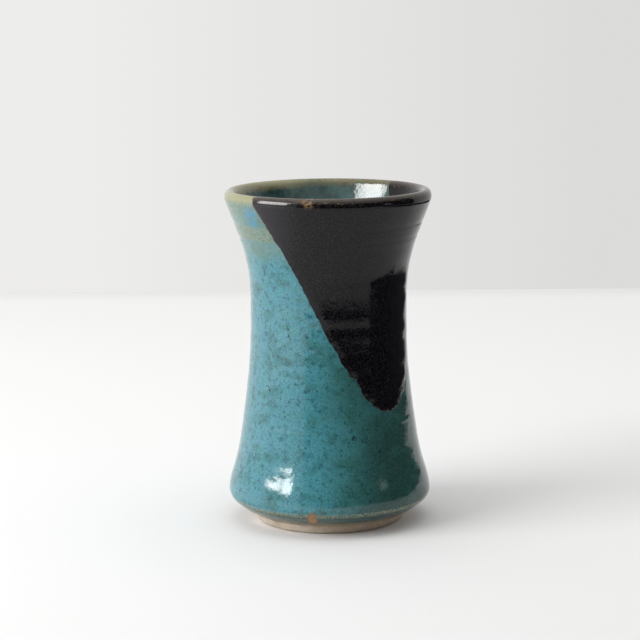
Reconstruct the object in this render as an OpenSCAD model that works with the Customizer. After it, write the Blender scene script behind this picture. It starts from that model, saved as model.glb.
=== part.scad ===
// Wheel-thrown stoneware bud vase with a trimmed foot, a waisted body and a
// rolled lip. A glaze lines the inside, a second coat covers the outside down
// to the foot, and a black coat comes from dipping the finished pot at a tilt.
// The origin is at the centre of the foot, on the surface the vase stands on.

/* [Overall] */
// Height from the table to the crest of the lip
vase_h = 115.8; // [110:0.1:125]
// Outside diameter across the lip
lip_d = 71.3; // [66:0.1:76]
// Wall thickness of the body, with its glaze
wall = 4.2; // [3.4:0.1:5.4]
// Height of the glazed floor inside
floor_z = 7; // [6:0.1:10]

/* [Outline] */
// Radius of the ridge where the trimmed chamfer starts
ridge_r = 34.5; // [33:0.1:35]
// Height of that ridge
ridge_z = 8.4; // [7.5:0.1:9]
// Largest radius of the low belly
belly_r = 35.2; // [34.2:0.1:36]
// Height of the widest part of the belly
belly_z = 10.1; // [10:0.1:13]
// Radius on the steep flank above the belly
flank_r = 33.3; // [32:0.1:33.8]
// Height of the flank
flank_z = 19; // [17.5:0.5:22]
// Radius where the belly meets the straighter wall
shoulder_r = 30.8; // [29.5:0.1:31.5]
// Height of that change of slope
shoulder_z = 30; // [27:0.5:34]
// Smallest outside radius, at the waist
waist_r = 26.9; // [25:0.05:28]
// Height of the waist
waist_z = 71; // [62:0.5:78]
// Radius low in the flare
neck_r = 27.95; // [27.2:0.05:29.5]
// Height low in the flare
neck_z = 90; // [86:0.5:94]

/* [Lip] */
// Radius of the rolled edge
roll_r = 2.0; // [1.7:0.05:2.4]
// Height of the upright band below the roll
band_h = 1.6; // [0.6:0.1:2.4]
// How far the crease under the band steps in
crease_in = 0.4; // [0.1:0.05:0.5]

/* [Foot] */
// Outside radius of the foot ring at the table
foot_r = 25.4; // [24:0.1:26.5]
// Outside radius at the top of the foot ring
foot_top_r = 27.0; // [26.6:0.1:28]
// Height of the foot ring
foot_h = 3.1; // [2.4:0.1:3.6]
// Width of the ring that the vase stands on
foot_w = 5.6; // [4:0.1:8]
// Depth of the trimmed recess under the vase
recess_h = 1.8; // [1:0.1:2.4]

/* [Glaze] */
// Thickness of the liner and of the outside coat
coat = 0.4; // [0.3:0.05:0.6]
// Thickness of the black coat over them
dip_coat = 0.25; // [0.15:0.05:0.4]
// Height where the outside coat stops on the chamfer
glaze_line_z = 4.6; // [4:0.1:5.4]
// Tilt of the black coat's edge from level
dip_tilt = 67.7; // [60:0.1:72]
// Turn of its lowest point, from the front towards the right
dip_turn = 45.7; // [0:0.1:360]
// Height at which the tilted edge crosses the axis
dip_z = 113.2; // [105:0.1:116]

/* [Hidden] */
$fn = 96;

// Pieces that each stretch of curve is drawn with
curve_steps = 8;
// Degrees between points on a rounded edge
arc_step = 15;
// Bevel round the bottom edge of the foot ring
foot_bevel = 0.5;
// Extra wall thickness low in the belly
belly_extra = 1.0;
// Radius of the round between the floor and the wall
floor_round = 7;
// Slopes of the outline, in radius over height, at its named stations
ridge_slope = 0.5;
flank_slope = -0.31;
shoulder_slope = -0.15;
neck_slope = 0.19;
lip_slope = 0.36;

lip_r = lip_d / 2;
roll_mid_r = lip_r - roll_r;
roll_mid_z = vase_h - dip_coat - roll_r;
crease_z = roll_mid_z - band_h - crease_in;
chamfer_slope = (ridge_z - foot_h) / (ridge_r - foot_top_r);
glaze_line_r = foot_top_r + (glaze_line_z - foot_h) / chamfer_slope;
inside_low_z = floor_z + floor_round;
inside_low_r = belly_r - wall - belly_extra;
inside_lip_r = lip_r - 2 * roll_r;

// Outline stations, from the ridge up to the lip: [height, radius, slope]
OUTSIDE = [
    [ridge_z, ridge_r, ridge_slope],
    [belly_z, belly_r, 0],
    [flank_z, flank_r, flank_slope],
    [shoulder_z, shoulder_r, shoulder_slope],
    [waist_z, waist_r, 0],
    [neck_z, neck_r, neck_slope],
    [crease_z, lip_r - crease_in, lip_slope]
];

// Inside stations, from the round at the floor up to the lip
INSIDE = [
    [inside_low_z, inside_low_r, 0],
    [shoulder_z, shoulder_r - wall, shoulder_slope],
    [waist_z, waist_r - wall, 0],
    [neck_z, neck_r - wall, neck_slope],
    [roll_mid_z, inside_lip_r, lip_slope]
];

// Radius on the smooth curve between two stations, at a share t of the way up
function curve_r(a, b, t) =
    let (rise = b[0] - a[0])
    (1 + 2 * t) * pow(1 - t, 2) * a[1] + t * pow(1 - t, 2) * rise * a[2]
    + t * t * (3 - 2 * t) * b[1] + t * t * (t - 1) * rise * b[2];

// Points of one stretch, moved out from the axis by out
function stretch(a, b, out) = [
    for (i = [0 : curve_steps - 1])
        let (t = i / curve_steps)
        [curve_r(a, b, t) + out, a[0] + t * (b[0] - a[0])]
];

// Points of a whole outline, with its last station left to what follows
function outline(stations, out) = [
    for (k = [0 : len(stations) - 2]) each stretch(stations[k], stations[k + 1], out)
];

// Arc points about a centre, from angle a to angle b
function arc(mid_r, mid_z, radius, a, b) =
    let (count = round(abs(b - a) / arc_step))
    [for (i = [0 : count])
        let (turn = a + (b - a) * i / count)
        [mid_r + radius * cos(turn), mid_z + radius * sin(turn)]];

// The outer face from the ridge to the crest, moved out from the glazed face
function outer_face(out) = concat(
    outline(OUTSIDE, out),
    [[lip_r - crease_in + out, crease_z], [lip_r + out, crease_z + crease_in]],
    arc(roll_mid_r, roll_mid_z, roll_r + out, 0, 90)
);

// The inner face from the crest down to the round at the floor
function inner_face(out) = concat(
    arc(roll_mid_r, roll_mid_z, roll_r + out, 90, 180),
    reversed(outline(INSIDE, -out))
);

// The floor inside, from the round to the axis
function floor_face(out) = concat(
    arc(inside_low_r - floor_round, inside_low_z, floor_round - out, 0, -90),
    [[0, floor_z + out]]
);

function reversed(list) = [for (i = [len(list) - 1 : -1 : 0]) list[i]];

// A point on the chamfer at height z, moved off its face by out
function chamfer_point(z, out) =
    let (lean = atan(chamfer_slope))
    [foot_top_r + (z - foot_h) / chamfer_slope + out * sin(lean), z - out * cos(lean)];

// The foot ring and its recess, from the axis out to the chamfer
FOOT = [
    [0, recess_h],
    [foot_r - foot_w - recess_h / 2, recess_h],
    [foot_r - foot_w, 0],
    [foot_r - foot_bevel, 0],
    [foot_r, foot_bevel],
    [foot_top_r, foot_h],
    chamfer_point(glaze_line_z, 0)
];

// Everything that went below the surface of the black glaze
module dipped_side() {
    reach = 2 * vase_h;
    rotate([0, 0, dip_turn])
        translate([0, 0, dip_z])
            rotate([dip_tilt, 0, 0])
                translate([-reach / 2, -reach / 2, 0])
                    cube(reach);
}

// The thrown and trimmed stoneware: foot ring, floor, wall and lip in one piece
module clay_body() {
    color("#a89a88")
        rotate_extrude()
            polygon(concat(
                FOOT,
                outer_face(-coat),
                inner_face(-coat),
                floor_face(-coat)
            ));
}

// The poured coat inside, from the floor up to the crest of the lip
module liner_glaze() {
    color("#3f5a5a")
        rotate_extrude()
            polygon(concat(
                inner_face(0),
                floor_face(0),
                reversed(concat(inner_face(-coat), floor_face(-coat)))
            ));
}

// The teal coat outside, from the crest of the lip down to the foot
module outside_glaze() {
    color("#4f8894")
        rotate_extrude()
            polygon(concat(
                [chamfer_point(glaze_line_z, 0), chamfer_point(glaze_line_z, coat)],
                outer_face(0),
                reversed(outer_face(-coat))
            ));
}

// The black coat over one side, outside and in, with its straight tilted edge
module black_dip_glaze() {
    color("#17171c")
        intersection() {
            rotate_extrude()
                polygon(concat(
                    outer_face(dip_coat),
                    inner_face(dip_coat),
                    reversed(concat(outer_face(0), inner_face(0)))
                ));
            dipped_side();
        }
}

clay_body();
liner_glaze();
outside_glaze();
black_dip_glaze();
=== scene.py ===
"""A wheel-thrown stoneware bud vase: bare clay foot, teal coat, dark liner and a tilted black dip.

Outlines are in millimetres, as a potter measures them, and are turned into metres at the end.
Turns are measured round the axis from the front, which is -Y, towards the right, which is +X.
"""

import math

import bmesh
import bpy
from mathutils import Matrix, Vector, noise


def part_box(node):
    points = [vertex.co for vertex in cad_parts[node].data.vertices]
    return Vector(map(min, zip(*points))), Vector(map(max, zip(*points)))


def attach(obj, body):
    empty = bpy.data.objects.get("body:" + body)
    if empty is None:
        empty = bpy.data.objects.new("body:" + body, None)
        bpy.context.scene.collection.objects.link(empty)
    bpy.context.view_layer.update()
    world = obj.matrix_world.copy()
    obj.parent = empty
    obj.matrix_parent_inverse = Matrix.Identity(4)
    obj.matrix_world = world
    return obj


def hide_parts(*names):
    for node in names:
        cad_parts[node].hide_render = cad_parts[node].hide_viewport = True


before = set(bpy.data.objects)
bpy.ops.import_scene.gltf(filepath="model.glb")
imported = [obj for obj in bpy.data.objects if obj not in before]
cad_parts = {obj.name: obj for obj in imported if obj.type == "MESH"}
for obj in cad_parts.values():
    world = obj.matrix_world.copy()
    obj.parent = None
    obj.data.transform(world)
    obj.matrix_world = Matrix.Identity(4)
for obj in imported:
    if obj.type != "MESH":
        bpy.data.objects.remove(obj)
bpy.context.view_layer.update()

# ---------------------------------------------------------------- sizes, in millimetres

MM = 0.001

coat = 0.4
dip_coat = 0.16
lip_margin = 0.1
crest_margin = 0.05
lip_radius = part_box("outside_glaze")[1].x / MM - lip_margin
crest_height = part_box("liner_glaze")[1].z / MM - crest_margin
floor_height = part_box("liner_glaze")[0].z / MM + coat
wall = 4.2
belly_extra = 1.0
roll_radius = 2.0
band_height = 1.6
crease_in = 0.4
lip_slope = 0.36

ridge_height = 8.4
ridge_radius = 34.45
belly_radius = 35.15
belly_height = 10.1
foot_height = 3.1
foot_top_radius = 27.0
foot_radius = 25.4
foot_width = 5.6
foot_bevel = 0.5
recess_height = 1.8
glaze_line_height = 4.6
chamfer_slope = (ridge_height - foot_height) / (ridge_radius - foot_top_radius)
chamfer_lean = math.atan(chamfer_slope)
chamfer_down = Vector((-math.cos(chamfer_lean), -math.sin(chamfer_lean)))

roll_middle = Vector((lip_radius - roll_radius, crest_height - roll_radius))
crease_height = roll_middle.y - band_height - crease_in

# Stations of the glazed wall, each with its height, its outside radius and its slope
ridge = (ridge_height, ridge_radius, 0.5)
belly = (belly_height, belly_radius, 0.0)
flank = (19.0, 33.3, -0.31)
shoulder = (30.0, 30.8, -0.15)
waist = (71.0, 26.9, 0.0)
neck = (90.0, 27.95, 0.19)
crease = (crease_height, lip_radius - crease_in, lip_slope)
OUTSIDE = (ridge, belly, flank, shoulder, waist, neck, crease)

# The glazed inside, a wall's thickness in, from the round at the floor up to the lip
floor_round = 7.0
inside_low_height = floor_height + floor_round
inside_low_radius = belly_radius - wall - belly_extra
INSIDE = (
    (inside_low_height, inside_low_radius, 0.0),
    *((height, radius - wall, slope) for height, radius, slope in (shoulder, waist, neck)),
    (roll_middle.y, lip_radius - 2 * roll_radius, lip_slope),
)

# The tilted edge of the black coat, which reaches lower outside than inside
dip_lowest_outside = 34
dip_lowest_inside = 46
dip_tilt = math.radians(67.7)
dip_turn = math.radians(45.7)
dip_height = 113.2
dip_normal = Vector(
    (
        math.sin(dip_tilt) * math.sin(dip_turn),
        -math.sin(dip_tilt) * math.cos(dip_turn),
        math.cos(dip_tilt),
    )
)
dip_middle = Vector((0, 0, dip_height))

# Marks of the glaze: a rounded bulge of the black edge, a blue pool, a bare spot and a drop
dip_bulge = Vector((14.0, -24.0, 49.5))
blue_pool = (-25.2, -21.8, 108.3)
bare_spot = (-6.4, -34.4, 114.6)
drop_side, drop_height = -6.0, 7.0

# What the potter's fingers left on the wall
ring_pitch = 8.5
ring_depth = 0.045
oval_depth = 0.12

# Height, depth and half width of two grooves, and of a raised ring, whose depth is negative
GROOVES = ((104.9, 0.12, 0.5), (99.8, 0.13, 0.45), (37.0, -0.06, 0.6))

# Facets of each mesh round the axis
body_facets = 300
liner_facets = 320
teal_facets = 360
dip_facets = 300


# ---------------------------------------------------------------- outlines


def curve_radius(low, high, share):
    """Radius at a share of the way up the smooth curve between two stations"""
    rise = high[0] - low[0]
    rest = 1 - share
    return (
        (1 + 2 * share) * rest**2 * low[1]
        + share * rest**2 * rise * low[2]
        + share**2 * (3 - 2 * share) * high[1]
        - share**2 * rest * rise * high[2]
    )


def wall_line(stations, out, steps=24):
    """Points up a wall through its stations, moved out from the axis"""
    line = []
    for low, high in zip(stations, stations[1:]):
        for step in range(steps):
            share = step / steps
            height = low[0] + share * (high[0] - low[0])
            line.append(Vector((curve_radius(low, high, share) + out, height)))
    return line


def arc(middle, radius, start, end, steps=16):
    """Points on an arc about a middle, between two angles in degrees"""
    line = []
    for step in range(steps + 1):
        turn = math.radians(start + (end - start) * step / steps)
        line.append(middle + Vector((math.cos(turn), math.sin(turn))) * radius)
    return line


def outer_line(out):
    """The outside from the ridge up to the crest of the lip"""
    band = [
        Vector((lip_radius - crease_in + out, crease_height)),
        Vector((lip_radius + out, crease_height + crease_in)),
    ]
    return wall_line(OUTSIDE, out) + band + arc(roll_middle, roll_radius + out, 0, 90)


def inner_line(out):
    """The inside from the crest of the lip down to the round at the floor"""
    roll = arc(roll_middle, roll_radius + out, 90, 180)
    return roll + wall_line(INSIDE, -out)[::-1]


def floor_line(out):
    """The inside floor, from its round to the axis"""
    middle = Vector((inside_low_radius - floor_round, inside_low_height))
    return arc(middle, floor_round - out, 0, -90) + [Vector((0, floor_height + out))]


def chamfer_point(height, out):
    """A point on the chamfer over the foot, moved off its face"""
    off_face = Vector((math.sin(chamfer_lean), -math.cos(chamfer_lean))) * out
    along = (height - foot_height) / chamfer_slope
    return Vector((foot_top_radius + along, height)) + off_face


def evenly(line, gap):
    """The same line with its points a gap apart"""
    spans = [(b - a).length for a, b in zip(line, line[1:])]
    count = max(2, round(sum(spans) / gap))
    points, walked, span = [], 0.0, 0
    for step in range(count):
        target = sum(spans) * step / count
        while walked + spans[span] < target:
            walked += spans[span]
            span += 1
        share = (target - walked) / spans[span] if spans[span] else 0
        points.append(line[span].lerp(line[span + 1], share))
    return points + [line[-1]]


def softened(line, passes):
    """The same line with its corners rounded, and its ends where they were"""
    for _ in range(passes):
        middles = [(a + b * 2 + c) / 4 for a, b, c in zip(line, line[1:], line[2:])]
        line = [line[0], *middles, line[-1]]
    return line


# ---------------------------------------------------------------- the hand of the potter


def smooth(value):
    """A smooth step from 0 to 1"""
    value = min(1.0, max(0.0, value))
    return value * value * (3 - 2 * value)


def turn_of(point):
    """Angle round the axis, from the front towards the right"""
    return math.atan2(point.x, -point.y)


def throwing(turn, height):
    """How far the wall stands off its true round, from throwing and drying"""
    around = Vector((math.sin(turn), math.cos(turn), height / 60))
    # Two spirals of finger rings, faint on the belly and at the lip
    rings = -math.sin(math.tau * height / ring_pitch - turn)
    rings += 0.5 * math.sin(math.tau * height / (ring_pitch * 0.62) + turn + 1.3)
    strength = 0.55 + 0.6 * noise.noise(around * 1.7 + Vector((0, 0, height / 25)))
    body = (0.3 + 0.7 * smooth((height - 42) / 18)) * smooth((height - 9) / 8)
    body *= smooth((111 - height) / 7)
    offset = ring_depth * rings * strength * body
    # The mouth dried a little oval, and the foot stayed round
    offset += oval_depth * noise.noise(around * 0.9) * smooth((height - 3) / 30)
    for middle, depth, width in GROOVES:
        drift = middle + 0.5 * math.sin(turn + middle)
        offset -= depth * math.exp(-(((height - drift) / width) ** 2))
    return offset


def glaze_relief(point):
    """The soft unevenness of melted glaze"""
    broad = noise.noise(point / 6.0 + Vector((3, 7, 1)))
    fine = noise.noise(point / 1.9 + Vector((8, 2, 5)))
    return 0.035 * broad + 0.012 * fine


def pushed_out(point, offset):
    """A point moved away from the axis"""
    flat = Vector((point.x, point.y, 0))
    return point + flat.normalized() * offset if flat.length > 1 else point


# ---------------------------------------------------------------- meshes


def spun(line, facets, loop=False):
    """A surface of revolution from (radius, height, glazed) points, closed into a loop or not.
    A quarter is spun, then copied to a half and to the whole."""
    made = bmesh.new()
    glazed = made.verts.layers.float.new("glazed")
    corners = []
    for radius, height, face in line:
        corner = made.verts.new((0, -radius, height))
        corner[glazed] = face
        corners.append(corner)
    pairs = list(zip(corners, corners[1:]))
    if loop:
        pairs.append((corners[-1], corners[0]))
    edges = [made.edges.new(pair) for pair in pairs]
    bmesh.ops.spin(
        made,
        geom=corners + edges,
        cent=(0, 0, 0),
        axis=(0, 0, 1),
        angle=math.tau / 4,
        steps=facets // 4,
    )
    for degrees in (90, 180):
        half = bmesh.ops.duplicate(made, geom=made.verts[:] + made.edges[:] + made.faces[:])
        moved = [item for item in half["geom"] if isinstance(item, bmesh.types.BMVert)]
        turned = Matrix.Rotation(math.radians(degrees), 3, "Z")
        bmesh.ops.rotate(made, cent=(0, 0, 0), matrix=turned, verts=moved)
    bmesh.ops.remove_doubles(made, verts=made.verts, dist=0.002)
    bmesh.ops.recalc_face_normals(made, faces=made.faces)
    return made


def marked(line, glazed):
    """The line's points with a mark that says if they are on the glazed face"""
    return [(point.x, point.y, glazed) for point in line]


def thrown(made):
    """Moves every point as throwing left the wall, and the glazed ones as the glaze melted"""
    glazed = made.verts.layers.float["glazed"]
    for vert in made.verts:
        offset = throwing(turn_of(vert.co), vert.co.z)
        if vert[glazed] > 0.5:
            offset += glaze_relief(vert.co)
        vert.co = pushed_out(vert.co, offset)


def finished(made, name, node, material):
    """Turns the mesh into a piece that stands for its CAD node"""
    bmesh.ops.scale(made, vec=(MM, MM, MM), verts=made.verts)
    mesh = bpy.data.meshes.new(name)
    made.to_mesh(mesh)
    made.free()
    for face in mesh.polygons:
        face.use_smooth = True
    mesh.materials.append(material)
    piece = bpy.data.objects.new(name, mesh)
    bpy.context.scene.collection.objects.link(piece)
    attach(piece, "root")
    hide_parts(node)
    return piece


def stoneware_body(material):
    """The thrown and trimmed clay"""
    ring_inner = foot_radius - foot_width
    foot = [
        Vector((0, recess_height)),
        Vector((ring_inner - recess_height, recess_height)),
        Vector((ring_inner, 0)),
        Vector((foot_radius - foot_bevel, 0)),
        Vector((foot_radius, foot_bevel)),
        Vector((foot_top_radius, foot_height)),
        chamfer_point(glaze_line_height, 0),
        chamfer_point(glaze_line_height + 1, -0.01),
    ]
    foot = softened(evenly(foot, 0.23), 3)
    outside = softened(evenly(outer_line(-coat), 1.5), 2)
    inside = softened(evenly(inner_line(-coat) + floor_line(-coat), 1.5), 2)
    made = spun(marked(foot + outside + inside, 0), body_facets)
    for vert in made.verts:
        if vert.co.z < glaze_line_height + 1:
            vert.co = trimmed(vert.co)
    thrown(made)
    return finished(made, "stoneware_body", "clay_body", material)


def trimmed(point):
    """A point on the foot, with the fine lines and grit that the trimming tool left"""
    radius = math.hypot(point.x, point.y)
    if radius < 2:
        return point
    side = smooth((radius - foot_radius + 0.5) / 0.5) * smooth(point.z / 0.6)
    under = smooth((foot_radius - foot_width - 1 - radius) / 1.0)
    grit = noise.noise(point / 0.9) * 0.06 + noise.noise(point / 2.6) * 0.05
    tool = math.sin(point.z * math.tau / 0.9 + noise.noise(point / 9) * 3) * 0.03
    point = pushed_out(point, (grit + tool - 0.05) * side)
    spiral = math.sin(radius * math.tau / 2.4 - turn_of(point)) * 0.07
    return point + Vector((0, 0, (spiral + grit) * under))


def glaze_edge(point):
    """A point of the teal coat, with its lower edge a little wavy and rounded like a bead"""
    reach = (ridge_height - point.z) / (ridge_height - glaze_line_height)
    if reach <= 0:
        return point
    turn = turn_of(point)
    around = Vector((math.sin(turn), math.cos(turn), 0))
    wave = 0.45 * noise.noise(around * 2.2) + 0.22 * noise.noise(around * 7) - 0.1
    slide = chamfer_down * (wave * smooth(reach))
    return pushed_out(point, slide.x) + Vector((0, 0, slide.y))


def teal_coat(material):
    """The outside coat, from its edge over the foot up to the crest of the lip"""
    bead = [
        chamfer_point(glaze_line_height, 0.0),
        chamfer_point(glaze_line_height - 0.12, 0.12),
        chamfer_point(glaze_line_height - 0.10, 0.30),
        chamfer_point(glaze_line_height + 0.10, 0.46),
        chamfer_point(glaze_line_height + 0.60, 0.47),
        chamfer_point(ridge_height - 0.6, coat * 0.8),
    ]
    face = softened(evenly(bead + outer_line(0)[1:], 0.52), 3)
    back = [chamfer_point(ridge_height, 0)] + outer_line(-coat)[2:]
    back = evenly(back, 4.0)[::-1]
    made = spun(marked(face, 1) + marked(back, 0), teal_facets, loop=True)
    for vert in made.verts:
        vert.co = glaze_edge(vert.co)
    thrown(made)
    return finished(made, "teal_coat", "outside_glaze", material)


def liner_coat(material):
    """The poured coat inside, from the crest of the lip down to the floor"""
    face = softened(evenly(inner_line(0) + floor_line(0), 0.7), 2)
    back = evenly((inner_line(-coat) + floor_line(-coat))[::-1], 4.0)
    made = spun(marked(back, 0) + marked(face, 1), liner_facets)
    thrown(made)
    return finished(made, "liner_coat", "liner_glaze", material)


def ragged(point):
    """How far the black coat crept past its straight edge at a point of the cutting plane"""
    flat = point - dip_normal * dip_normal.dot(point - dip_middle)
    creep = 0.35 * noise.noise(flat / 12.0 + Vector((1, 4, 2)))
    creep += 0.34 * noise.noise(flat / 2.6 + Vector((5, 1, 9)))
    creep += 0.24 * noise.noise(flat / 1.1 + Vector((2, 6, 3)))
    creep += 1.3 * math.exp(-((flat - dip_bulge).length / 3.2) ** 2)
    return creep


def dip_gap(point):
    """Distance of a point past the black coat's edge, along the cutting plane's normal"""
    return dip_normal.dot(point - dip_middle) + ragged(point)


def black_coat(material):
    """The dipped coat over one side, outside and in"""
    outside = [point for point in outer_line(0) if point.y > dip_lowest_outside]
    inside = [point for point in inner_line(0) if point.y > dip_lowest_inside]
    face = softened(evenly(outside + inside[1:], 0.62), 2)
    made = spun(marked(face, 1), dip_facets)
    for vert in made.verts:
        vert.co += dip_normal * ragged(vert.co)
    everything = made.verts[:] + made.edges[:] + made.faces[:]
    bmesh.ops.bisect_plane(
        made,
        geom=everything,
        dist=0.01,
        plane_co=dip_middle,
        plane_no=dip_normal,
        clear_inner=True,
    )
    for vert in made.verts:
        vert.co -= dip_normal * ragged(vert.co)
    thrown(made)
    bmesh.ops.recalc_face_normals(made, faces=made.faces)
    skin = bmesh.ops.extrude_face_region(made, geom=made.faces[:], use_keep_orig=True)
    raised = [item for item in skin["geom"] if isinstance(item, bmesh.types.BMVert)]
    made.normal_update()
    for vert in raised:
        normal = vert.normal
        slant = math.sqrt(max(0.1, 1 - dip_normal.dot(normal) ** 2))
        inward = max(0.0, dip_gap(vert.co)) / slant
        vert.co += normal * dip_coat * (0.12 + 0.88 * smooth(inward / 2.2))
    bmesh.ops.recalc_face_normals(made, faces=made.faces)
    return finished(made, "black_dip", "black_dip_glaze", material)


# ---------------------------------------------------------------- finishes


class Wire:
    """One output in a finish, which adds Math nodes as it is used in sums"""

    def __init__(self, finish, socket):
        self.finish = finish
        self.socket = socket

    def sum(self, operation, *values):
        return self.finish.node("Math", {"operation": operation}, dict(enumerate(values)))

    def __add__(self, other):
        return self.sum("ADD", self, other)

    def __sub__(self, other):
        return self.sum("SUBTRACT", self, other)

    def __rsub__(self, other):
        return self.sum("SUBTRACT", other, self)

    def __mul__(self, other):
        return self.sum("MULTIPLY", self, other)

    def __truediv__(self, other):
        return self.sum("DIVIDE", self, other)

    __radd__ = __add__
    __rmul__ = __mul__


class Finish:
    """A procedural material, built from nodes that read places in millimetres"""

    def __init__(self, name):
        self.material = bpy.data.materials.new(name)
        self.material.use_nodes = True
        self.tree = self.material.node_tree
        self.tree.nodes.clear()
        metres = self.node("TexCoord", out="Object")
        self.place = self.node(
            "VectorMath", {"operation": "SCALE"}, {0: metres, "Scale": 1 / MM}
        )
        self.side = self.node("SeparateXYZ", values={0: self.place}, out="X")
        self.depth = self.node("SeparateXYZ", values={0: self.place}, out="Y")
        self.height = self.node("SeparateXYZ", values={0: self.place}, out="Z")

    def node(self, kind, settings=None, values=None, out=0):
        """Adds a node, sets it up, fills or links its sockets, and gives one of its outputs"""
        made = self.tree.nodes.new("ShaderNode" + kind)
        for name, value in (settings or {}).items():
            setattr(made, name, value)
        for name, value in (values or {}).items():
            if isinstance(value, Wire):
                self.tree.links.new(value.socket, made.inputs[name])
            else:
                made.inputs[name].default_value = value
        return Wire(self, made.outputs[out])

    def grain(self, size, detail=2.0, squash=1.0, seed=0.0, rough=0.5):
        """Cloudy noise with features about a size across, flattened along Z by squash"""
        moved = self.node(
            "Mapping",
            values={
                "Vector": self.place,
                "Location": (seed * 13.1, seed * 7.7, seed * 3.3),
                "Scale": (1 / size, 1 / size, squash / size),
            },
        )
        return self.node(
            "TexNoise",
            values={"Vector": moved, "Scale": 1.0, "Detail": detail, "Roughness": rough},
        )

    def between(self, value, low, high):
        """0 below low, 1 above high, and smooth between them; low may be the larger"""
        return self.node(
            "MapRange",
            {"interpolation_type": "SMOOTHSTEP"},
            {"Value": value, "From Min": low, "From Max": high},
        )

    def specks(self, spacing, size, share, seed=0.0):
        """Uneven specks of about a radius, in a share of the cells of a random pattern"""
        moved = self.node(
            "Mapping", values={"Vector": self.place, "Location": (seed, seed * 2, seed * 3)}
        )
        cell = {"Vector": moved, "Scale": 1 / spacing, "Randomness": 1.0}
        distance = self.node("TexVoronoi", values=cell, out="Distance")
        colour = self.node("TexVoronoi", values=cell, out="Color")
        chance = self.node("SeparateColor", values={0: colour}, out="Red")
        girth = self.node("SeparateColor", values={0: colour}, out="Green")
        edge = distance + (self.grain(size * 1.6, 1.0, seed=seed) - 0.5) * (size / spacing)
        reach = (girth * girth * 1.3 + 0.35) * (size / spacing)
        inside = self.between(edge, reach, reach * 0.45)
        return inside * self.between(chance, share + 0.01, share - 0.01)

    def near(self, middle, size, soft=0.6):
        """1 near a middle point, fading to 0 at a size from it"""
        away = self.node("VectorMath", {"operation": "DISTANCE"}, {0: self.place, 1: middle}, 1)
        return self.between(away, size, size * (1 - soft))

    def blend(self, share, low, high):
        """A colour a share of the way from low to high"""
        settings = {"data_type": "RGBA", "clamp_factor": True}
        low = low if isinstance(low, Wire) else (*low, 1.0)
        high = high if isinstance(high, Wire) else (*high, 1.0)
        return self.node("Mix", settings, {0: share, 6: low, 7: high}, 2)

    def bump(self, height, distance):
        return self.node("Bump", values={"Height": height, "Strength": 1.0, "Distance": distance})

    def surface(self, **values):
        """The shader and the output; names are the shader's sockets with _ for a space"""
        sockets = {name.replace("_", " "): value for name, value in values.items()}
        shader = self.node("BsdfPrincipled", values=sockets)
        output = self.tree.nodes.new("ShaderNodeOutputMaterial")
        self.tree.links.new(shader.socket, output.inputs["Surface"])
        return self.material


def bare_stoneware():
    """Buff clay with grit, iron specks and a toasted line beside the glaze, with painted shade to
    the right and along the bottom
    """
    finish = Finish("bare_stoneware")
    cloud = finish.grain(5.0, 3.0, seed=1)
    grit = finish.grain(0.5, 3.0, seed=2)
    pale, mid = (0.64, 0.545, 0.455), (0.41, 0.325, 0.235)
    # Painted shade: the clay turns darker towards the right, away from the window
    cloud = cloud + finish.between(finish.side, -22.0, 22.0) * 0.4 - 0.08
    colour = finish.blend(finish.between(cloud, 0.3, 0.7), pale, mid)
    colour = finish.blend(finish.between(grit, 0.42, 0.75) * 0.6, colour, (0.62, 0.56, 0.48))
    iron = finish.specks(1.5, 0.30, 0.3, seed=4)
    colour = finish.blend(iron * 0.45, colour, (0.14, 0.085, 0.05))
    toasted = finish.between(finish.height + cloud * 0.8, 2.8, 4.4)
    colour = finish.blend(toasted * 0.8, colour, (0.20, 0.145, 0.09))
    # Painted shade along the bottom of the foot, where it meets the table
    painted_contact_shade = finish.between(finish.height, 0.7, 0.1)
    colour = finish.blend(painted_contact_shade * 0.6, colour, (0.16, 0.11, 0.07))
    relief = finish.bump(grit * 0.6 + finish.grain(0.25, 2.0, seed=5) * 0.4, 0.00012)
    return finish.surface(Base_Color=colour, Roughness=0.85, Normal=relief)


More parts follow.
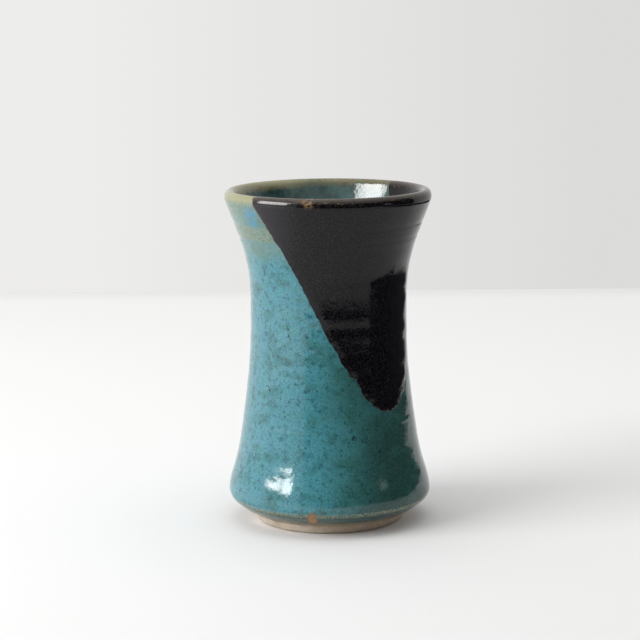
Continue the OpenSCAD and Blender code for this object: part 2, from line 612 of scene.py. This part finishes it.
def teal_glaze():
    """Glossy teal, freckled, and thin at its edges, with painted light on its left and painted
    shade that makes it darker and greener to the right
    """
    finish = Finish("teal_glaze")
    broad = finish.grain(20.0, 2.0, seed=1)
    cloud = finish.grain(7.0, 3.0, squash=1.3, seed=2)
    mottle = finish.grain(1.7, 3.0, seed=3, rough=0.6)
    pepper = finish.grain(0.55, 2.0, seed=4, rough=0.7)
    across = finish.side + (broad - 0.5) * 22.0 + (cloud - 0.5) * 12.0
    # Painted light and shade: the teal is lightest on the far left, towards the window, and darkens
    # to deep green on the right
    painted_lit_teal, blue = (0.080, 0.250, 0.300), (0.061, 0.238, 0.282)
    painted_shade_teal, painted_deep_shade_teal = (0.040, 0.155, 0.158), (0.018, 0.060, 0.052)
    left = finish.blend(finish.between(across, -26.0, -8.0), painted_lit_teal, blue)
    right = finish.blend(finish.between(across, 4.0, 22.0), painted_shade_teal, painted_deep_shade_teal)
    colour = finish.blend(finish.between(across, -10.0, 10.0), left, right)
    patch = finish.between(cloud, 0.50, 0.66) * 0.5
    colour = finish.blend(patch, colour, (0.026, 0.105, 0.085))
    pool = finish.between(finish.grain(3.2, 2.0, seed=13), 0.52, 0.70) * 0.45
    colour = finish.blend(pool * finish.between(across, 20.0, 0.0), colour, (0.035, 0.15, 0.22))
    veil = finish.grain(4.2, 3.0, squash=1.7, seed=21, rough=0.6)
    leftward = finish.between(across, 8.0, -14.0)
    greener = finish.between(veil, 0.52, 0.66) * leftward
    bluer = finish.between(veil, 0.46, 0.34) * leftward
    colour = finish.blend(greener * 0.45, colour, (0.050, 0.215, 0.205))
    colour = finish.blend(bluer * 0.40, colour, (0.070, 0.215, 0.310))
    darker = finish.between(pepper, 0.50, 0.34) * 0.34 + finish.between(mottle, 0.48, 0.34) * 0.45
    colour = finish.blend(darker, colour, (0.010, 0.040, 0.048))
    paler = finish.between(pepper, 0.53, 0.74) * 0.55
    # Painted shade: the pale blotches are darker on the right
    shade_rightward = finish.between(across, -12.0, 16.0)
    bright = finish.blend(shade_rightward, (0.12, 0.34, 0.385), (0.072, 0.18, 0.165))
    colour = finish.blend(paler, colour, bright)
    colour = freckled(finish, colour, across)
    colour = lip_bands(finish, colour, cloud, mottle)
    colour = chamfer_line(finish, colour, mottle, pepper)
    pits = finish.grain(2.6, 2.0, seed=12)
    relief = finish.bump(pits + mottle * 0.35 + pepper * 0.1, 0.000065)
    return finish.surface(Base_Color=colour, Roughness=0.10, IOR=1.5, Normal=relief)


def freckled(finish, colour, across):
    """Dark blue and brown freckles, which thicken low down and to the right, and pale specks that
    are painted glints
    """
    many = finish.between(across - finish.height * 0.25, -45.0, 5.0)
    fine = finish.specks(1.2, 0.21, 0.20 + many * 0.35, 1)
    colour = finish.blend(fine * 0.6, colour, (0.008, 0.026, 0.034))
    coarse = finish.specks(3.1, 0.46, 0.24 + many * 0.22, 2)
    colour = finish.blend(coarse * 0.85, colour, (0.006, 0.020, 0.038))
    blots = finish.specks(6.0, 0.85, 0.22, 3)
    colour = finish.blend(blots * 0.5, colour, (0.008, 0.045, 0.11))
    brown = finish.specks(4.6, 0.36, 0.25, 5)
    colour = finish.blend(brown * 0.65, colour, (0.15, 0.11, 0.05))
    # Painted glints: small pale specks over the coat
    painted_glints = finish.specks(2.2, 0.17, 0.25, 4)
    return finish.blend(painted_glints * 0.6, colour, (0.22, 0.42, 0.44))


def lip_bands(finish, colour, cloud, mottle):
    """Where the coat runs thin between the grooves under the lip, and a blue pool there"""
    height = finish.height + (mottle - 0.5) * 1.0
    band = finish.between(height, 99.6, 100.4) * finish.between(height, 105.2, 104.6)
    above = finish.between(height + cloud * 3.0, 107.5, 111.0)
    below = finish.between(height + cloud * 5.0, 94.0, 100.0)
    colour = finish.blend(below * 0.5, colour, (0.165, 0.235, 0.185))
    thin = (band * 0.55 + above * 0.42) * finish.between(mottle, 0.2, 0.55)
    spots = finish.grain(0.6, 2.0, seed=14, rough=0.7)
    tan = finish.blend(finish.between(spots, 0.35, 0.65), (0.09, 0.12, 0.065), (0.31, 0.33, 0.19))
    colour = finish.blend(thin, colour, tan)
    pool = finish.near(blue_pool, 5.2) * finish.between(mottle, 0.3, 0.6)
    colour = finish.blend(pool * 0.85, colour, (0.055, 0.24, 0.38))
    return thin_lip(finish, colour, cloud, mottle)


def thin_lip(finish, colour, cloud, mottle):
    """The coat breaks to olive along the crest of the lip, and to cream on its left"""
    height = finish.height + cloud * 1.4 + (mottle - 0.5) * 1.2
    left = finish.between(finish.side + cloud * 10.0, 2.0, -14.0)
    olive = finish.blend(finish.between(mottle, 0.4, 0.6), (0.19, 0.17, 0.08), (0.10, 0.12, 0.065))
    colour = finish.blend(finish.between(height, 114.2, 116.0) * 0.9, colour, olive)
    cream = finish.between(height, 112.4, 115.0) * left
    return finish.blend(cream * 0.75, colour, (0.36, 0.34, 0.20))


def chamfer_line(finish, colour, mottle, pepper):
    """The worn ridge over the foot, the dark olive chamfer under it, deepened by painted shade that
    grows to the right, and one rusty drop
    """
    height = finish.height + (mottle - 0.5) * 1.0
    shade_rightward = finish.between(finish.side, -2.0, 12.0)
    # Partly the chamfer's own dark olive, partly painted shade under the ridge, deeper on the right
    under = finish.blend(shade_rightward, (0.030, 0.054, 0.036), (0.010, 0.046, 0.042))
    colour = finish.blend(finish.between(height, 9.0, 8.1) * 0.8, colour, under)
    along_ridge = finish.between(height, 7.5, 8.0) * finish.between(height, 9.5, 8.8)
    worn = finish.between(pepper, 0.40, 0.58) * 0.9
    colour = finish.blend(along_ridge * worn, colour, (0.24, 0.255, 0.16))
    edge = finish.between(height, 5.7, 5.0)
    # Painted shade: the olive by the glaze's edge is darker on the right
    olive = finish.blend(shade_rightward, (0.11, 0.10, 0.05), (0.045, 0.062, 0.045))
    colour = finish.blend(edge * 0.6, colour, olive)
    beside = (finish.side - drop_side) / 1.8
    above = (finish.height - drop_height) / 3.0
    reach = beside * beside + above * above + (mottle - 0.5) * 2.6 + (pepper - 0.5) * 2.2
    side = finish.between(finish.depth, 0.0, -5.0)
    colour = finish.blend(finish.between(reach, 1.6, 0.6) * side * 0.6, colour, (0.16, 0.09, 0.035))
    return finish.blend(finish.between(reach, 0.9, -0.1) * side, colour, (0.38, 0.165, 0.05))


def liner_glaze():
    """Dark teal-green, breaking to olive along the crest of the lip"""
    finish = Finish("liner_glaze")
    cloud = finish.grain(6.0, 3.0, squash=1.5, seed=7)
    mottle = finish.grain(1.4, 3.0, seed=8)
    deep, mid = (0.015, 0.042, 0.036), (0.036, 0.095, 0.09)
    colour = finish.blend(finish.between(cloud, 0.3, 0.7), deep, mid)
    colour = finish.blend(finish.between(mottle, 0.5, 0.75) * 0.4, colour, (0.08, 0.18, 0.17))
    olive = finish.between(finish.height + cloud * 3.0, 113.4, 115.8)
    colour = finish.blend(olive * 0.7, colour, (0.10, 0.10, 0.05))
    colour = finish.blend(finish.specks(2.6, 0.33, 0.4, 5) * 0.8, colour, (0.01, 0.025, 0.025))
    colour = thin_lip(finish, colour, cloud, mottle)
    runs = finish.grain(1.6, 2.0, squash=0.35, seed=22)
    rust = finish.between(finish.height + runs * 2.4, 114.0, 116.2)
    rust = rust * finish.between(finish.side, -8.0, 8.0) * finish.between(runs, 0.42, 0.60)
    colour = finish.blend(rust * 0.6, colour, (0.17, 0.11, 0.075))
    pits = finish.grain(2.6, 2.0, seed=12)
    relief = finish.bump(pits + mottle * 0.5 + runs * 0.6, 0.00010)
    return finish.surface(Base_Color=colour, Roughness=0.16, IOR=1.5, Normal=relief)


def black_glaze():
    """Deep glossy black, breaking to brown on the lip, with tiny crystals, painted reflection that
    lightens its upper left and its crest, and painted glints on the crystals
    """
    finish = Finish("black_glaze")
    cloud = finish.grain(4.0, 3.0, seed=9)
    mottle = finish.grain(1.0, 3.0, seed=10)
    pepper = finish.grain(0.5, 2.0, seed=15, rough=0.7)
    tint = finish.between(pepper, 0.42, 0.66)
    colour = finish.blend(tint, (0.0008, 0.0007, 0.0010), (0.0135, 0.0122, 0.0155))
    # Painted reflection: the black is lighter on its upper left, where it mirrors the pale room
    thin = finish.between(finish.side, -6.0, -24.0) * finish.between(finish.height, 84.0, 104.0)
    colour = finish.blend(thin * 0.9, colour, (0.026, 0.023, 0.029))
    # Partly the black's brown break on the crest, partly painted reflection that lightens it
    crest = finish.between(finish.height + cloud * 0.8 + (mottle - 0.5), 114.0, 116.0)
    colour = finish.blend(crest * 0.85, colour, (0.082, 0.068, 0.055))
    dashes = finish.grain(1.3, 2.0, squash=2.5, seed=11)
    worn = finish.between(finish.height, 112.6, 114.0) * finish.between(dashes, 0.60, 0.70)
    colour = finish.blend(worn * 0.8, colour, (0.13, 0.085, 0.04))
    bare = finish.near(bare_spot, 3.0, 0.8) * finish.between(dashes, 0.42, 0.56)
    colour = finish.blend(bare * 0.9, colour, (0.25, 0.155, 0.085))
    # Tiny crystals as grey specks, partly painted glints
    colour = finish.blend(finish.specks(1.5, 0.16, 0.4, 6) * 0.5, colour, (0.08, 0.08, 0.095))
    relief = finish.bump(cloud * 0.5 + mottle * 0.6 + pepper * 0.15, 0.00005)
    return finish.surface(Base_Color=colour, Roughness=0.09, IOR=1.36, Normal=relief)


# ---------------------------------------------------------------- studio, in metres


def camera():
    """A long lens a little above the lip, looking slightly down"""
    data = bpy.data.cameras.new("camera")
    data.sensor_width = 36.0
    data.lens = 115.8
    made = bpy.data.objects.new("camera", data)
    made.location = (-0.0029, -0.7038, 0.1906)
    looks_down, looks_right = 9.75, 0.45
    made.rotation_mode = "ZYX"
    made.rotation_euler = (math.radians(90 - looks_down), 0, math.radians(-looks_right))
    bpy.context.scene.collection.objects.link(made)
    bpy.context.scene.camera = made


def window(name, turns, rises, distance, glow, shine_only=False):
    """A soft light that fills a span of turns and rises, in degrees, seen from the vase"""
    target = Vector((0, 0, 0.06))
    turn, rise = math.radians(sum(turns) / 2), math.radians(sum(rises) / 2)
    level = math.cos(rise)
    away = Vector((math.sin(turn) * level, -math.cos(turn) * level, math.sin(rise)))
    data = bpy.data.lights.new(name, "AREA")
    data.shape = "RECTANGLE"
    data.size = 2 * distance * math.tan(math.radians(turns[1] - turns[0]) / 2)
    data.size_y = 2 * distance * math.tan(math.radians(rises[1] - rises[0]) / 2)
    data.energy = glow * math.pi * data.size * data.size_y
    made = bpy.data.objects.new(name, data)
    made.location = target + away * distance
    made.rotation_mode = "QUATERNION"
    made.rotation_quaternion = away.to_track_quat("Z", "Y")
    made.visible_camera = False
    made.visible_diffuse = not shine_only
    bpy.context.scene.collection.objects.link(made)


def room():
    """A pale room, a little brighter on its left"""
    world = bpy.data.worlds.new("room")
    world.use_nodes = True
    bpy.context.scene.world = world
    tree = world.node_tree
    tree.nodes.clear()
    place = tree.nodes.new("ShaderNodeTexCoord")
    split = tree.nodes.new("ShaderNodeSeparateXYZ")
    glow = tree.nodes.new("ShaderNodeMapRange")
    glow.inputs["From Min"].default_value = -0.11
    glow.inputs["From Max"].default_value = 0.13
    glow.inputs["To Min"].default_value = 0.845
    glow.inputs["To Max"].default_value = 0.715
    back = tree.nodes.new("ShaderNodeBackground")
    output = tree.nodes.new("ShaderNodeOutputWorld")
    tree.links.new(place.outputs["Generated"], split.inputs[0])
    tree.links.new(split.outputs["X"], glow.inputs["Value"])
    tree.links.new(glow.outputs[0], back.inputs["Strength"])
    tree.links.new(back.outputs[0], output.inputs["Surface"])
    back.inputs["Color"].default_value = (1.0, 0.995, 0.985, 1.0)


def staged(made, name, material):
    """A mesh of the studio, which isn't part of the vase"""
    mesh = bpy.data.meshes.new(name)
    made.to_mesh(mesh)
    made.free()
    mesh.materials.append(material)
    thing = bpy.data.objects.new(name, mesh)
    bpy.context.scene.collection.objects.link(thing)
    return thing


def table_top():
    """The plain pale surface that the vase stands on, with painted shade that makes it less bright
    at its far edge
    """
    left, right, front, back = -1.4, 0.36, -0.69, 0.509
    made = bmesh.new()
    bmesh.ops.create_grid(made, x_segments=1, y_segments=1, size=0.5)
    for vert in made.verts:
        vert.co.x = right if vert.co.x > 0 else left
        vert.co.y = back if vert.co.y > 0 else front
    finish = Finish("pale_table")
    # Painted shade: the far edge is darker, as if it turned down away from the light
    edge = finish.between(finish.depth, back / MM - 37.0, back / MM)
    colour = finish.blend(edge, (0.85, 0.85, 0.85), (0.78, 0.78, 0.78))
    material = finish.surface(Base_Color=colour, Roughness=0.8, Specular_IOR_Level=0.2)
    staged(made, "table_top", material)


def dark_screen(name, start, end, low, high, shine_only=False):
    """A dark upright screen between two places, which the camera doesn't see. It shows in
    reflections, and as shade unless it is there only for them."""
    made = bmesh.new()
    bmesh.ops.create_grid(made, x_segments=1, y_segments=1, size=0.5)
    for vert in made.verts:
        x, y = end if vert.co.x > 0 else start
        vert.co = (x, y, high if vert.co.y > 0 else low)
    finish = Finish(name)
    screen = staged(made, name, finish.surface(Base_Color=(0.01, 0.01, 0.012, 1), Roughness=1.0))
    screen.visible_camera = False
    screen.visible_diffuse = not shine_only
    screen.visible_shadow = not shine_only


# ---------------------------------------------------------------- making the vase

camera()
room()
table_top()

# The dark side of the room, which the glazes mirror at the front and on the right
dark_screen("front_screen", (-0.30, -0.47), (0.20, -0.40), 0.0, 0.30)
dark_screen("corner_screen", (0.20, -0.40), (0.42, -0.22), 0.0, 0.30)
dark_screen("side_screen", (0.42, -0.22), (0.45, 0.12), 0.0, 0.42, shine_only=True)
dark_screen("lower_step", (0.262, -0.150), (0.245, -0.060), 0.0, 0.030, shine_only=True)
dark_screen("upper_step", (0.245, -0.085), (0.240, 0.075), 0.0, 0.045, shine_only=True)
dark_screen("back_step", (0.240, 0.075), (0.185, 0.390), 0.012, 0.045, shine_only=True)

# A paned window on the left, a small one far on the right, and the ceiling's soft light
window("window", (-84, -46), (9.5, 42), 1.2, 6.0)
window("pane_high", (-82, -59), (16, 38), 1.1, 13.5, shine_only=True)
window("pane_low", (-80, -60), (10, 14.5), 1.1, 12.0, shine_only=True)
window("pane_right", (-57, -47), (10, 38), 1.1, 12.0, shine_only=True)
window("far_window", (60, 69), (5, 14), 0.33, 1.1, shine_only=True)
window("ceiling", (-25, 25), (65, 115), 1.5, 0.45)
bpy.context.scene.view_settings.view_transform = "Standard"

stoneware_body(bare_stoneware())
liner_coat(liner_glaze())
teal_coat(teal_glaze())
black_coat(black_glaze())
